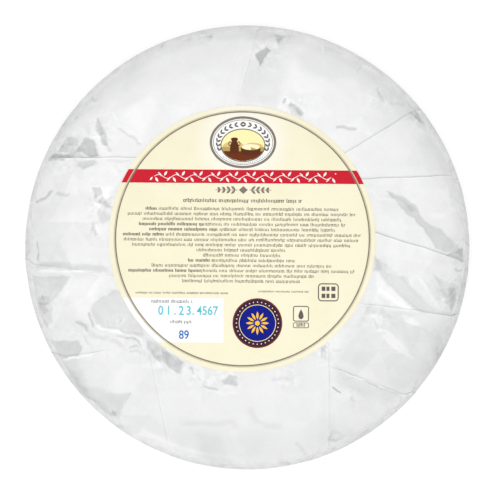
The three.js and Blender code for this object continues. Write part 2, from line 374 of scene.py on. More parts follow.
PATCHES = [
    # The two long grey bands on the east side, where the paper clings to the cheese
    Patch(
        [(74.5, 31), (78, 30.5), (91.5, 23), (93, 18), (99, 11.5), (104.5, 9.5), (113, 2.5),
         (118, -2.5), (108, -2.5), (103, -0.5), (91, 14.5), (82.5, 22.5)],
        1.2, 0.12, (0.03, 0.03),
    ),
    Patch(
        [(69, -5), (73.5, -8), (75.5, -12.5), (82.5, -15.5), (86.5, -17), (91.5, -24.5),
         (98, -30.5), (102.5, -33.5), (113, -36), (97, -35.5), (91.5, -33.5), (82, -26),
         (74.5, -17), (69, -11)],
        0.6, 0.1, (0.02, 0.03),
    ),
    Patch([(68, -3), (71, -7), (72, -12), (68, -13)], 0.7, 0.15, (0.0, 0.05)),
    # Pockets at the east rim, darkened with painted shade
    Patch(
        [(101.5, -15.5), (107, -17.5), (114.5, -20), (115, -28), (112.5, -35), (108, -27.5)],
        0.75, 0.5, (0.06, 0.05),
    ),
    Patch(
        [(109, -21), (114, -22), (114, -31), (111.5, -33.5), (109.5, -27)],
        1.0, 0.4, (-0.08, 0.0),
    ),
    Patch([(108, -4.5), (114, -0.5), (119, 1), (119, -8), (114, -6.5)], 1.3, 0.5, (0.05, 0.1)),
    Patch([(88, 73), (93, 76), (95, 71), (98.5, 68.5), (93, 69)], 1.9, 0.5, (0.05, 0.1)),
    Patch([(87, 23), (90, 24), (91, 20.5), (88.5, 20)], 0.45, 0.15, (0.08, 0.0)),
    # Paler facets beside the bands, painted highlights, and one strip of painted shade
    Patch(
        [(70, -13), (75, -19), (84, -28), (92, -35), (84, -33), (70, -24)],
        -0.5, -0.1, (-0.02, -0.03), soft=1.2,
    ),
    Patch([(84, -36), (91, -39), (95, -42), (92, -42.5), (84, -40)], -0.45, -0.1, (-0.03, -0.04)),
    Patch(
        [(67, -34.5), (73, -36.5), (74.5, -39), (72, -43), (69, -42)],
        -0.4, -0.1, (-0.03, -0.05),
    ),
    Patch([(66, -30), (90, -36), (84, -41), (66, -34)], 0.5, 0.1, (0.02, 0.02), soft=1.2),
    Patch(
        [(68.3, -41.4), (77.3, -45.9), (86.3, -54.1), (89.3, -60.1), (81.8, -57), (74.3, -50)],
        -0.6, -0.1, (-0.02, -0.03), soft=0.8,
    ),
    # Painted shade over the whole panel under them, darkest at the rim
    Patch(
        [(48, -58), (66, -33), (84, -41), (118, -41), (116, -60), (100, -82), (70, -73)],
        0.4, soft=3,
    ),
    Patch([(101, -44), (122, -42), (112, -68), (98, -78), (102, -60)], 0.35, soft=3),
    Patch([(48, -64), (66, -73), (82, -80), (76, -84), (62, -80), (50, -75)], 0.45, soft=3),
    Patch([(45, -98), (60, -99), (84, -88), (75, -105), (46, -118)], 0.3, soft=3),
    # North: painted shade in folds near the rim and over a wide soft field
    Patch([(3.5, 105), (10, 108), (13, 106.5), (8.5, 102), (6.5, 98)], 2.5, 0.5, (0.05, 0.12)),
    Patch([(14.5, 116), (22, 116), (16.5, 110)], 1.4, 0.3, (0.0, 0.08)),
    Patch([(0.5, 101), (-5.5, 77), (17, 78), (21, 95), (14, 106)], 0.35, soft=3),
    Patch([(0, 112), (2, 121), (26, 119), (24, 108)], 0.5, soft=3),
    Patch([(26, 104), (42, 112), (62, 104), (60, 92), (44, 90), (30, 96)], 0.4, soft=3),
    Patch([(42, 107), (41, 116), (50, 113), (52, 106)], 0.4, 0.15, (0.0, 0.04), soft=1.2),
    Patch([(60, 101), (84, 86), (100, 66), (88, 68), (72, 78), (60, 90)], 0.35, soft=3),
    Patch([(88, 62), (104, 56), (116, 40), (98, 42)], 0.35, soft=3),
    # North-west corner: painted shade in the folds above the one that runs due west, and one paler painted
    # highlight
    Patch(
        [(-80.5, 71.5), (-79, 67), (-77.5, 62.5), (-74.5, 55), (-78, 55.5), (-80.5, 60),
         (-82.3, 64), (-81.5, 68)],
        1.5, 0.35, (0.09, 0.0),
    ),
    Patch([(-103.5, 52), (-98.5, 59), (-96.5, 52)], 2.0, 0.35, (0.0, 0.1)),
    Patch([(-112, 48.8), (-108, 51), (-97, 50.4), (-94, 48.8)], 2.2, 0.35, (0.0, 0.15)),
    Patch([(-98, 60), (-91.5, 58.5), (-89, 49), (-97, 49)], 1.1, 0.2, (0.02, 0.04)),
    Patch(
        [(-92, 52.5), (-87, 59), (-83, 58), (-80.5, 49), (-84, 48.6), (-88, 51)],
        1.9, 0.35, (-0.06, 0.05),
    ),
    Patch(
        [(-91, 46.8), (-82, 47), (-81, 44.5), (-88, 42.5), (-91.5, 44.5)],
        1.1, 0.25, (0.0, 0.08),
    ),
    Patch([(-68, 74), (-52, 82), (-48, 74), (-57, 58), (-62, 64)], -0.4, soft=3),
    Patch([(-100, 66), (-86, 84), (-60, 104), (-56, 92), (-80, 74)], 0.4, soft=3),
    # West: painted shade in folds and hollows, and two paler painted highlights
    Patch([(-84.5, 32.5), (-79, 32.5), (-78, 28), (-82, 26)], 1.4, 0.25, (0.07, 0.0)),
    Patch([(-79, 33), (-74, 33), (-74, 28), (-78, 28)], -0.4, -0.1, (-0.04, 0.0), soft=1.2),
    Patch([(-78, 28), (-73, 21), (-80, 24)], 1.5, 0.3, (0.0, 0.1)),
    Patch([(-81.5, 22), (-73, 17), (-79, 12.5)], 0.6, 0.2, (0.04, 0.0)),
    Patch([(-114, 22), (-104, 28), (-88, 29), (-84, 24), (-98, 18), (-116, 12)], 0.3, soft=3),
    Patch(
        [(-119, -15.5), (-95, -15.4), (-100.5, -24.5), (-109.5, -31.5), (-119, -31)],
        0.95, 0.3, (0.04, 0.0),
    ),
    Patch(
        [(-116, -27), (-107, -27), (-105, -33), (-106.5, -39), (-110.5, -45), (-116, -39)],
        1.0, 0.35, (-0.06, 0.03),
    ),
    Patch([(-115, -29.5), (-111, -30), (-108, -34), (-112, -36)], 1.1, 0.4, (0.1, 0.0)),
    Patch([(-95, -17), (-76, -16.5), (-83.5, -29.5), (-86, -39.5), (-100, -26)], -0.4, soft=3),
    Patch(
        [(-84, -32.5), (-79, -27), (-72, -22.5), (-67.5, -23.5), (-65, -32.5), (-57.5, -43),
         (-56, -46.5), (-64, -46.5), (-72, -44), (-78, -43), (-82, -41)],
        0.65, 0.25, (-0.03, 0.04),
    ),
    Patch([(-78, -23), (-62, -20), (-66, -24), (-74, -25)], 0.3, 0.1, (0.0, 0.05), soft=1.2),
    # South-west: painted shade in the gathered paper and along the dim rim
    Patch(
        [(-112, -51.5), (-92, -50.5), (-90, -54), (-91, -58.5), (-106, -61)],
        1.4, 0.3, (0.0, 0.07),
    ),
    Patch(
        [(-104, -62), (-92, -60.5), (-88, -68), (-86, -76), (-70, -78.5), (-63, -78.6),
         (-69, -89.5), (-76, -96), (-96, -84)],
        0.8, soft=2,
    ),
    Patch([(-104, -64), (-94, -68), (-84, -82), (-70, -91), (-78, -98), (-100, -80)], 0.85, soft=3),
    Patch([(-75, -91), (-72, -93), (-71, -90.5), (-73, -89)], 1.7, 0.3, (0.05, 0.05)),
    # Painted shade in the folds that come out from under the label
    Patch(
        [(-54, -49), (-48, -52.5), (-43, -57), (-43, -63), (-50.5, -59.5), (-54, -54)],
        0.95, 0.35, (0.03, 0.08),
    ),
    Patch([(-43.5, -56), (-35, -61.5), (-37, -67.5), (-43.5, -63)], 1.35, 0.45, (-0.05, 0.08)),
    Patch(
        [(-13.5, -72), (-10, -68), (-6, -70), (-5.5, -74.5), (-12, -74.5)],
        1.2, 0.3, (0.0, 0.06),
    ),
    # South: painted shade along the flap's rim
    Patch([(-27, -101), (-16, -102), (-7, -119), (-24, -119)], 0.45, soft=3),
]

# Each crumple: its middle, its radius and its strength.
CRUMPLES = [
    (94, 71, 9, 0.9),
    (116, -3, 9, 0.9),
    (111, -25, 13, 0.7),
    (70, -36, 12, 0.5),
    (-97, 52, 14, 0.8),
    (-79, 62, 12, 0.5),
    (-79, 25, 12, 0.7),
    (-82, 8, 8, 0.4),
    (-111, -29, 12, 0.5),
    (-68, -46, 15, 0.4),
    (-92, -46, 12, 0.3),
    (-45, -58, 13, 0.9),
    (-25, -71, 11, 0.6),
    (-9, -71, 8, 0.6),
    (22, -70, 9, 0.5),
    (-73, -92, 7, 0.8),
    (41, -57, 8, 0.7),
    (56, -83, 9, 0.25),
    (48, -104, 8, 0.5),
    (84, -90, 9, 0.5),
    (9, 104, 11, 0.6),
    (26, 75, 10, 0.7),
    (17, 113, 9, 0.5),
    (-22, 115, 9, 0.5),
    (-86, 82, 10, 0.4),
    (74, 81, 12, 0.4),
    (112, 30, 12, 0.3),
]

# How crumpled each panel of paper is, in the order of the folds that they start from.
PANEL_CRUMPLE = [0.45, 0.4, 0.8, 0.9, 0.6, 0.22, 0.5, 0.8, 0.75, 0.6, 0.4]


def distance_to_path(x, y, path):
    """Distance of each point to a path, and how far along the path its nearest point is, 0 to 1."""
    path = np.array(path, float)
    lengths = np.linalg.norm(np.diff(path, axis=0), axis=1)
    done = np.concatenate([[0], np.cumsum(lengths)]) / lengths.sum()
    best = np.full(x.shape, np.inf)
    share = np.zeros(x.shape)
    for k in range(len(lengths)):
        (x0, y0), (x1, y1) = path[k], path[k + 1]
        t = ((x - x0) * (x1 - x0) + (y - y0) * (y1 - y0)) / lengths[k] ** 2
        t = np.clip(t, 0, 1)
        away = np.hypot(x - x0 - t * (x1 - x0), y - y0 - t * (y1 - y0))
        nearer = away < best
        best = np.where(nearer, away, best)
        share = np.where(nearer, done[k] + t * (done[k + 1] - done[k]), share)
    return best, share


def depth_inside(x, y, outline):
    """How far each point is inside an outline, below 0 outside it."""
    away, _ = distance_to_path(x, y, [*outline, outline[0]])
    inside = np.zeros(x.shape, bool)
    for (x0, y0), (x1, y1) in zip(outline, [*outline[1:], outline[0]]):
        if y0 == y1:
            continue
        crosses = (y0 > y) != (y1 > y)
        inside ^= crosses & (x < x0 + (y - y0) * (x1 - x0) / (y1 - y0))
    return np.where(inside, away, -away)


def near(x, y, points, margin):
    """Which points lie near a shape's own box."""
    low, high = np.min(points, axis=0) - margin, np.max(points, axis=0) + margin
    return (x > low[0]) & (x < high[0]) & (y > low[1]) & (y < high[1])


# The facets of the whole sheet and of the crumples: size, height and greyness, and a seed. The greyness is
# painted shade and highlight, a tone of its own on each facet.
SHEET_FACETS = [(17, 0.17, 0.24, 11), (8.5, 0.10, 0.12, 12), (3.8, 0.03, 0.06, 13)]
CRUMPLE_FACETS = [(4.2, 0.30, 0.75, 21), (2.2, 0.16, 0.45, 22)]

GREY_LEVEL = 0.13  # greyness of plain paper in the middle
GREY_SOUTHWARD = 0.0018  # and how much it grows with each millimetre to the south
# Painted shade that grows towards the rim, where the top falls away
SHADE_NEAR_RIM = 0.06
WEAKER_AT_RIM = 0.25  # patches lose this share of their greyness near the rim
STEEPEST_TILT = 0.4


def add_facets(height, grey, x, y, layers, strength):
    """Adds flat triangles to the height and the greyness, which are changed in place."""
    for size, rise, tone, seed in layers:
        up, shade = facets(x, y, size, seed)
        height += strength * rise * up
        grey += strength * tone * shade


def add_crumples(height, grey, x, y):
    for middle_x, middle_y, radius, strength in CRUMPLES:
        at = near(x, y, [(middle_x, middle_y)], 2 * radius)
        px, py = x[at], y[at]
        part_height, part_grey = height[at], grey[at]
        fade = strength * np.exp(-2 * ((px - middle_x) ** 2 + (py - middle_y) ** 2) / radius**2)
        add_facets(part_height, part_grey, px, py, CRUMPLE_FACETS, fade)
        height[at], grey[at] = part_height, part_grey


def add_creases(height, grey, x, y, ragged_x, ragged_y):
    for path, half_width, rise, tone_and_painted_shade in CREASES:
        at = near(x, y, path, 2 * half_width + 2)
        away, share = distance_to_path(ragged_x[at], ragged_y[at], path)
        ends = smoothstep(-0.02, 0.15, share) * (1 - smoothstep(0.85, 1.02, share))
        tent = np.clip(1 - away / half_width, 0, 1) * ends
        height[at] += rise * tent
        grey[at] += tone_and_painted_shade * smoothstep(0, 0.9, tent)


def add_patches(height, grey, x, y, ragged_x, ragged_y):
    near_rim = smoothstep(94, 110, np.hypot(x, y))
    for patch in PATCHES:
        at = near(x, y, patch.outline, 2 + patch.soft)
        px, py = ragged_x[at], ragged_y[at]
        mask = smoothstep(-patch.soft, patch.soft, depth_inside(px, py, patch.outline))
        middle_x, middle_y = np.mean(patch.outline, axis=0)
        east, north = patch.tilt
        tilt = east * (px - middle_x) + north * (py - middle_y)
        height[at] += mask * (np.clip(tilt, -STEEPEST_TILT, STEEPEST_TILT) - patch.sunk)
        grey[at] += mask * patch.grey * (1 - WEAKER_AT_RIM * near_rim[at])


def relief(x, y, crumple):
    """Height and greyness of the paper's creases at points in millimetres on the flat sheet; the greyness
    is mostly painted shade and highlight.
    """
    height = 0.10 * swell(x, y, 31, 3) + 0.07 * swell(x, y, 17, 4)
    grey = 0.14 * swell(x, y, 26, 15) + 0.05 * swell(x, y, 11, 16)
    add_facets(height, grey, x, y, SHEET_FACETS, crumple)
    # Plain paper's level, greying to the south, and painted shade towards the rim
    grey += GREY_LEVEL - GREY_SOUTHWARD * y + SHADE_NEAR_RIM * smoothstep(92, 112, np.hypot(x, y))
    add_crumples(height, grey, x, y)
    # The listed creases and patches have slightly ragged edges
    ragged_x = x + 0.8 * swell(x, y, 5, 81) + 0.4 * swell(x, y, 2, 82)
    ragged_y = y + 0.8 * swell(x, y, 5, 83) + 0.4 * swell(x, y, 2, 84)
    add_creases(height, grey, x, y, ragged_x, ragged_y)
    add_patches(height, grey, x, y, ragged_x, ragged_y)
    return height, grey


# ==== Mesh helpers ====


def new_object(name, points, faces, material, smooth=True):
    mesh = bpy.data.meshes.new(name)
    mesh.from_pydata([tuple(p) for p in points], [], [tuple(f) for f in faces])
    mesh.polygons.foreach_set("use_smooth", [smooth] * len(mesh.polygons))
    mesh.materials.append(material)
    mesh.update()
    piece = bpy.data.objects.new(name, mesh)
    bpy.context.scene.collection.objects.link(piece)
    return piece


def point_values(piece, name, values):
    """A number for each point of a piece, which its material reads by name."""
    attribute = piece.data.attributes.new(name, "FLOAT", "POINT")
    attribute.data.foreach_set("value", np.asarray(values, np.float32))


def grid_faces(rows, columns, closed=False):
    """Faces between rows of points, each row going round or across."""
    last = columns if closed else columns - 1
    row = np.arange(rows - 1)[:, None]
    column = np.arange(last)[None, :]
    after = (column + 1) % columns
    corners = [row * columns + column, (row + 1) * columns + column,
               (row + 1) * columns + after, row * columns + after]
    return np.stack([np.broadcast_to(c, (rows - 1, last)) for c in corners], axis=-1).reshape(-1, 4)


def around(count):
    """Directions in even steps, once round."""
    return math.tau * np.arange(count) / count


def pairs_round(first, count):
    """The numbers of each point of a ring and of the next, from the ring's first point."""
    return [(first + k, first + (k + 1) % count) for k in range(count)]


def fan(middle, first, count):
    """Triangles from a point to a ring of points."""
    return [(middle, k, after) for k, after in pairs_round(first, count)]


def flipped(faces):
    return [face[::-1] for face in faces]


def point_normals(points, faces):
    """Smooth normals from all the faces round each point."""
    a, b, c, d = (points[faces[:, k]] for k in range(4))
    face_normals = np.cross(c - a, d - b)
    normals = np.zeros_like(points)
    for k in range(4):
        np.add.at(normals, faces[:, k], face_normals)
    return normals / np.maximum(np.linalg.norm(normals, axis=1, keepdims=True), 1e-12)


# ==== The sheet of paper ====

FINE = 0.55 * MM  # between points of the sheet where it shows most
MOUTH_RADIUS = 10 * MM
NO_PLEAT = -1
DEEPEST = 0.8 * MM  # the paper doesn't go further down, because the cheese is there
PLACED_SCALE = 1.006  # the top's creases were placed at the scale of the belly, farther from the camera


def sheet_rows():
    """Distances from the middle, along the sheet, at which it has a row of points."""
    spans = [
        (MOUTH_RADIUS, 60 * MM, 6 * MM),
        (60 * MM, 66 * MM, 1.5 * MM),
        (66 * MM, 124 * MM, FINE),
        (124 * MM, 142 * MM, 0.75 * MM),
        (142 * MM, FOOT_REACH + 1 * MM, 0.8 * MM),
        (FOOT_REACH + 1 * MM, END_REACH - 1 * MM, 4 * MM),
    ]
    rows = [np.linspace(a, b, max(2, round((b - a) / step) + 1))[:-1] for a, b, step in spans]
    return np.concatenate([*rows, [END_REACH - 1 * MM]])


class Columns:
    """The sheet's columns of points, going once round it: their directions, heights and painted shade and
    highlights.
    """

    def __init__(self, reach):
        self.reach = reach
        self.radius = skin_radius(reach)
        edges = fold_directions(reach)
        self.edges = np.concatenate([edges, edges[:, :1] + math.tau], axis=1)
        self.open = np.stack([fold.openness(reach) for fold in [*FOLDS, FOLDS[0]]], axis=1)
        self.columns, self.pleat_of, self.panel_of = [], [], []
        for k in range(FOLD_COUNT):
            self.add_pleat(k)
            self.add_panel(k)
        self.direction, self.height, self.shade = np.moveaxis(np.array(self.columns), 0, -1)

    def add(self, direction, height, shade, pleat, panel):
        self.columns.append((direction, height, shade))
        self.pleat_of.append(pleat)
        self.panel_of.append(panel)

    def edge_lift(self, k):
        """How far fold k's edge stands off the paper under it."""
        along = np.full_like(self.reach, 40.0 * (k % FOLD_COUNT))
        ripple = 1 + 0.6 * swell(self.reach / MM, along, 7, 31)
        return FOLDS[k % FOLD_COUNT].edge_lift(self.reach) * ripple * self.open[:, k]

    def edge_direction(self, k):
        """The direction of fold k's edge, which isn't quite straight."""
        reach, along = self.reach / MM, np.full_like(self.reach, 55.0 * (k % FOLD_COUNT))
        sway = 0.45 * swell(reach, along, 14, 32) + 0.15 * swell(reach, along, 5, 33)
        return self.edges[:, k] + sway * MM * self.open[:, k] / self.radius

    def shade_under(self, k, away):
        """Painted shade: how much greyer the paper is drawn in the gap under fold k's edge."""
        lift = FOLDS[k % FOLD_COUNT].edge_lift(self.reach) / MM
        return 4.0 * lift * np.exp(-((away / (0.55 * MM)) ** 2)) * self.open[:, k]

    def add_pleat(self, k):
        """The columns of pleat k's section, from one side of it to the other."""
        offset, layer = pleat_section(FOLDS[k].over)
        for count, (step, level) in enumerate(zip(offset, layer)):
            raised = smoothstep(0.4, 2.0, level) * np.exp(-abs(step) / (4 * MM))
            direction = self.edge_direction(k) + step * self.open[:, k] / self.radius
            height = level * LAYER * self.open[:, k] + self.edge_lift(k) * raised
            # Painted highlight on the pleat's top edge, and painted shade in the gap under its edge
            painted_edge_highlight = 0.25 * (level > 1.9) * self.open[:, k]
            shade = self.shade_under(k, abs(step)) * (level < 0.5) - painted_edge_highlight
            panel = k if count > len(PLEAT) // 2 else (k - 1) % FOLD_COUNT
            self.add(direction, height, shade, k, panel)

    def over_edge(self, k, away):
        """Height of the paper that lies over pleat k, away from its edge."""
        covered = (TUCK + 0.5 * MM) * self.open[:, k]
        flat = 1 - smoothstep(covered, covered + TUCK_SLOPE, away)
        return 2 * LAYER * self.open[:, k] * flat + self.edge_lift(k) * np.exp(-away / (4 * MM))

    def add_panel(self, k):
        """The paper that shows between pleat k and the next."""
        start_step = pleat_section(FOLDS[k].over)[0][-1]
        end_step = pleat_section(FOLDS[(k + 1) % FOLD_COUNT].over)[0][0]
        start = self.edge_direction(k) + start_step * self.open[:, k] / self.radius
        end = self.edge_direction(k + 1) + end_step * self.open[:, k + 1] / self.radius
        width = (end - start)[np.argmin(abs(self.reach - RIM_REACH))] * WHEEL_RADIUS
        count = max(6, round(width / FINE))
        for share in np.arange(1, count) / count:
            angle = start + share * (end - start)
            height, shade = np.zeros_like(angle), np.zeros_like(angle)
            from_start = (angle - self.edges[:, k]) * self.radius
            to_end = (self.edges[:, k + 1] - angle) * self.radius
            for fold, side, away in ((k, "after", from_start), (k + 1, "before", to_end)):
                if FOLDS[fold % FOLD_COUNT].over == side:
                    height += self.over_edge(fold, away)
                else:
                    shade += self.shade_under(fold, away)
            self.add(angle, height, shade, NO_PLEAT, k)

    def point_numbers(self):
        """The number of each point: where a pleat is closed all its columns are one and the same."""
        pleat_of = np.array(self.pleat_of)
        closed = (self.open <= 0)[:, pleat_of] & (pleat_of != NO_PLEAT)
        numbers = np.arange(closed.size).reshape(closed.shape)
        first = [self.pleat_of.index(pleat) for pleat in self.pleat_of]
        numbers = np.where(closed, numbers[:, first], numbers)
        numbers[-1] = numbers[-1, 0]  # the last row is the single point in the middle underneath
        return numbers


SIDE_CRUMPLE = 0.25  # how much more crumpled the paper is down the side
UNDERSIDE_CRUMPLE = 0.35  # and how crumpled it is underneath
BLEND = 80  # columns over which one panel's crumple goes over into the next


def panel_crumple(reach, panel_of):
    """How crumpled the paper is at each point, blended from panel to panel."""
    strength = np.array(PANEL_CRUMPLE)[panel_of]
    half = BLEND // 2
    total = np.cumsum(np.concatenate([strength[-half:], strength, strength[:half]]))
    smooth = (total[BLEND:] - total[:-BLEND]) / BLEND
    side = smoothstep(112 * MM, 122 * MM, reach) * (1 - smoothstep(140 * MM, 152 * MM, reach))
    under = smoothstep(148 * MM, 156 * MM, reach)
    extra = SIDE_CRUMPLE * side + UNDERSIDE_CRUMPLE * under
    return smooth[None, :] * (1 - under)[:, None] + extra[:, None]


# Upright facets and creases down the side: how much they lean, their size in millimetres, their height
# and greyness, and a seed.
SIDE_FACETS = [(0.30, 9.0, 0.20, 0.16, 41), (-0.45, 6.0, 0.16, 0.14, 43), (0.15, 3.5, 0.10, 0.10, 45)]
SIDE_CREASES = [(0.5, 11, 0.22, 0.8, 47), (-0.35, 7, 0.16, 0.6, 49)]
FACET_SQUASH, CREASE_SQUASH = 0.35, 0.22  # their width as a share of their length


def side_gathers(direction, reach):
    """Height of the creases down the side, where the paper is drawn in to go round, and painted shade on
    their facets and in their grooves.
    """
    around = direction * WHEEL_RADIUS / MM
    down = (reach / MM)[:, None]
    band = smoothstep(113, 122, down) * (1 - smoothstep(146, 153, down))
    height, grey = np.zeros_like(direction), np.zeros_like(direction)
    for lean, size, rise, tone, seed in SIDE_FACETS:
        up, shade = facets(around + lean * down, FACET_SQUASH * down, size, seed)
        height += rise * up
        grey += tone * shade
    for lean, size, rise, tone, seed in SIDE_CREASES:
        ridge = 1 - abs(swell(around + lean * down, CREASE_SQUASH * down, size, seed))
        line = smoothstep(0.86, 1.0, ridge)
        height -= rise * line
        grey += tone * line * (0.5 + 0.5 * swell(around, down, 17, seed + 1))
    return band * height * MM, band * grey


# Painted shade: the paper is drawn greyer as it turns down over the shoulder and down the side, which get
# less light from above
SHOULDER_SHADE, SIDE_SHADE = 0.30, 0.45  # how much greyer the paper is as it turns down, and on the side
ELSEWHERE = 500  # millimetres to the east, where relief has no listed creases


def blend_underside(bumps, grey, reach, direction):
    """Under the wheel the sheet is one smooth round, so its relief follows the flat face there."""
    first = np.searchsorted(reach, FOOT_REACH - 8 * MM)
    radius = skin_radius(reach[first:])[:, None] / MM
    x = radius * np.cos(direction[first:]) + ELSEWHERE
    y = radius * np.sin(direction[first:])
    under_bumps, under_grey = relief(x.ravel(), y.ravel(), UNDERSIDE_CRUMPLE)
    share = smoothstep(FOOT_REACH - 8 * MM, FOOT_REACH, reach[first:])[:, None]
    for whole, under in ((bumps, under_bumps), (grey, under_grey)):
        whole[first:] = whole[first:] * (1 - share) + under.reshape(x.shape) * share


def sheet_relief(columns, reach):
    """Height, in millimetres, and greyness of the creases all over the sheet, with painted shade over the
    shoulder and side.
    """
    r = reach[:, None]
    x = PLACED_SCALE * r * np.cos(columns.direction) / MM
    y = PLACED_SCALE * r * np.sin(columns.direction) / MM
    crumple = panel_crumple(reach, columns.panel_of)
    bumps, grey = relief(x.ravel(), y.ravel(), crumple.ravel())
    bumps, grey = bumps.reshape(x.shape), grey.reshape(x.shape) + columns.shade
    blend_underside(bumps, grey, reach, columns.direction)
    # Painted shade over the shoulder and down the side
    shoulder_shade = SHOULDER_SHADE * smoothstep(115 * MM, 124 * MM, r)
    grey += shoulder_shade + SIDE_SHADE * smoothstep(125 * MM, 131 * MM, r)
    return bumps, grey


def sheet_depth(folds, bumps, gathers, r):
    """How deep under the skin the sheet lies, from the height of its folds, bumps and gathers."""
    on_table = smoothstep(FOOT_REACH - 6 * MM, FOOT_REACH + 2 * MM, r)
    belly = np.exp(-(((r - RIM_REACH) / (7 * MM)) ** 2))  # the paper is drawn tight round it
    inset = PAPER_INSET * (1 - on_table) * (1 - 0.8 * belly) + 0.04 * MM * on_table
    hollows = -0.35 * np.maximum(0, -bumps)
    bumps = (bumps * (1 - on_table) + hollows * on_table) * MM
    rise = folds + (bumps + gathers * (1 - on_table)) * (1 - 0.75 * belly)
    rise = np.minimum(rise, inset + 0.25 * MM * (1 - on_table) * (1 - belly))
    rise = np.maximum(rise, -DEEPEST * np.tanh(-rise / DEEPEST))
    return inset - rise


def sheet_shape():
    """Points, faces and greyness of the whole sheet, and the panel that each face belongs to."""
    reach = sheet_rows()
    columns = Columns(reach)
    r = np.broadcast_to(reach[:, None], columns.direction.shape)
    bumps, grey = sheet_relief(columns, reach)
    gathers, gather_painted_shade = side_gathers(columns.direction, reach)
    grey += gather_painted_shade
    depth = sheet_depth(columns.height, bumps, gathers, r)
    points = skin(r, columns.direction, depth).reshape(-1, 3)
    faces = columns.point_numbers().ravel()[grid_faces(*r.shape, closed=True)]
    return points, faces, grey.ravel(), np.tile(columns.panel_of, len(reach) - 1)


# The sheet is shown as four pieces, each some of its panels, cut where a pleat hides the cut
SHEET_PIECES = {
    "paper_north_west": (1, 2, 3),
    "paper_south": (4, 5, 6),
    "paper_east": (7, 8, 9),
    "paper_north_east": (10, 0),
}


def build_sheet(points, faces, grey, panel_of_face, material):
    normals = point_normals(points, faces)
    return [
        sheet_piece(name, points, faces[np.isin(panel_of_face, panels)], normals, grey, material)
        for name, panels in SHEET_PIECES.items()
    ]


def sheet_piece(name, points, faces, normals, grey, material):
    used, local = np.unique(faces, return_inverse=True)
    local = local.reshape(faces.shape)
    polygons = [list(dict.fromkeys(face)) for face in local.tolist()]
    polygons = [corners for corners in polygons if len(corners) > 2]
    piece = new_object(name, points[used], polygons, material)
    point_values(piece, "tone_and_painted_shade", grey[used])
    piece.data.normals_split_custom_set_from_vertices(normals[used].tolist())
    return piece


# ==== The cheese ====


def build_cheese(material):
    """The bare wheel, with the marks that its draining mat leaves on both round faces."""
    top = np.linspace(1 * MM, 104 * MM, 70)
    side = np.linspace(105 * MM, FOOT_REACH, 40)
    underside = np.linspace(FOOT_REACH + 1.5 * MM, END_REACH - 1 * MM, 70)
    reach = np.concatenate([top, side, underside])[:, None]
    columns = 360
    direction = around(columns)
    radius = skin_radius(reach)
    x, y = radius * np.cos(direction) / MM, radius * np.sin(direction) / MM
    flat = 1 - smoothstep(100 * MM, 110 * MM, radius)
    mat = 0.09 * np.sin(math.tau * x / 4.2) + 0.05 * np.sin(math.tau * y / 9)
    rind = 0.10 * swell(x, y, 15, 51) + 0.06 * swell(x + 0.4 * reach / MM, y, 5, 52)
    dip = (rind + mat * flat - 0.12) * MM
    points = skin(reach, direction, CHEESE_INSET - dip).reshape(-1, 3)
    middles = [[0, 0, WHEEL_TOP - CHEESE_INSET], [0, 0, CHEESE_INSET]]
    count = len(points)
    faces = grid_faces(len(reach), columns, closed=True).tolist()
    faces += fan(count, 0, columns)
    faces += flipped(fan(count + 1, count - columns, columns))
    return new_object("cheese_wheel", [*points, *middles], faces, material)


# ==== The label: a thin disc of paper that lies on the folds ====

LABEL_THICKNESS = 0.12 * MM
RIM_DIRECTIONS = 240  # in which the height of the paper at the label's rim is read
RIM_BAND = 1.6 * MM  # and how near the rim
RIM_SMOOTHING = [0.06, 0.12, 0.2, 0.24, 0.2, 0.12, 0.06]  # the label is too stiff to follow each wrinkle


def label_polar(x, y):
    """Distance and direction from the label's middle, in metres and radians."""
    return np.hypot(x - LABEL_X, y - LABEL_Y), np.arctan2(y - LABEL_Y, x - LABEL_X)


def label_point(u, v):
    """A place on the label, in metres, from millimetres to the right and up from its middle."""
    c, s = math.cos(LABEL_TURN), math.sin(LABEL_TURN)
    return LABEL_X + (u * c - v * s) * MM, LABEL_Y + (u * s + v * c) * MM


class LabelBed:
    """How high the label's underside lies: on the paper at its rim, and level in its middle."""

    def __init__(self, paper_points):
        top = paper_points[paper_points[:, 2] > WHEEL_TOP / 2]
        distance, direction = label_polar(top[:, 0], top[:, 1])
        rim = abs(distance - LABEL_RADIUS) < RIM_BAND
        part = np.floor(direction[rim] / math.tau * RIM_DIRECTIONS).astype(int) % RIM_DIRECTIONS
        total = np.bincount(part, top[rim, 2], RIM_DIRECTIONS)
        mean = total / np.maximum(1, np.bincount(part, minlength=RIM_DIRECTIONS)) + 0.04 * MM
        beyond = len(RIM_SMOOTHING) // 2
        wrapped = np.concatenate([mean[-beyond:], mean, mean[:beyond]])
        self.rim = np.convolve(wrapped, RIM_SMOOTHING, mode="valid")
        self.level = np.percentile(self.rim, 70)

    def height(self, x, y):
        distance, direction = label_polar(x, y)
        place = (direction / math.tau * RIM_DIRECTIONS - 0.5) % RIM_DIRECTIONS
        rim = np.interp(place, np.arange(RIM_DIRECTIONS + 1), np.append(self.rim, self.rim[0]))
        outward = smoothstep(0.35, 1.0, distance / LABEL_RADIUS)
        cockle = 0.07 * swell(x / MM, y / MM, 24, 61) + 0.03 * swell(x / MM, y / MM, 11, 62)
        return self.level + (rim - self.level) * outward + cockle * MM * (1 - 0.6 * outward)


def tuck_under_label(points, bed):
    """Presses the paper down where the label covers it."""
    distance, _ = label_polar(points[:, 0], points[:, 1])
    covered = (distance < LABEL_RADIUS) & (points[:, 2] > WHEEL_TOP / 2)
    limit = bed.height(points[:, 0], points[:, 1]) - 0.05 * MM
    points[covered, 2] = np.minimum(points[covered, 2], limit[covered])
    return points


